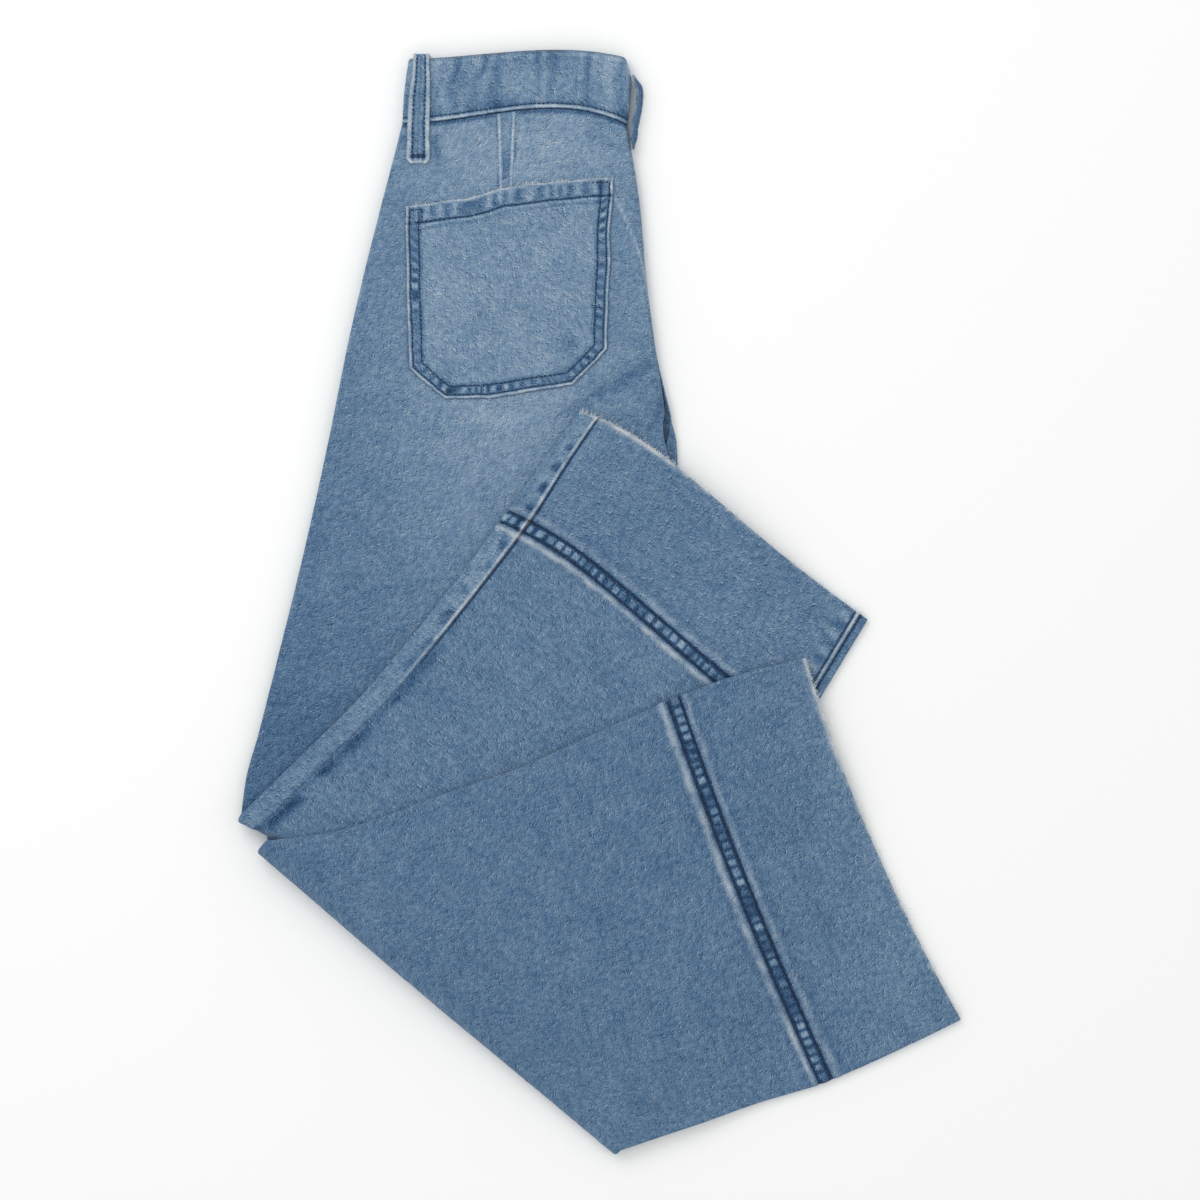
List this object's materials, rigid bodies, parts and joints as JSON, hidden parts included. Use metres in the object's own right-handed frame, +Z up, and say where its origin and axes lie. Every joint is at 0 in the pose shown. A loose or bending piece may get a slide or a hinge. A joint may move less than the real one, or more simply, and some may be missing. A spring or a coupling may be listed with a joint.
{
  "type": "folded pair of wide-leg denim jeans",
  "caption": "High-waisted wide-leg denim jeans, folded in half lengthwise with the back outside and both legs turned up at the knee and fanned over the trunk.",
  "frame": {"origin": "middle of the bounding box, on the surface the folded pair lies on", "axes": "+Z up, +Y towards the waistband, +X towards the centre back fold and the turned hems"},
  "size_m": [0.5336, 0.8156, 0.0224],
  "materials": {
    "denim": "washed mid-blue stretch denim, matte",
    "thread": "navy sewing thread, matte"
  },
  "bodies": {
    "root": {"waistband": "denim", "back_left": "denim", "back_right": "denim", "front_left": "denim", "front_right": "denim", "hidden_layers": "denim", "hem_left": "denim", "hem_right": "denim", "pocket_left": "denim", "pocket_right": "denim", "belt_loop_side_left": "denim", "belt_loop_side_right": "denim", "belt_loop_back": "denim"}
  },
  "joints": []
}
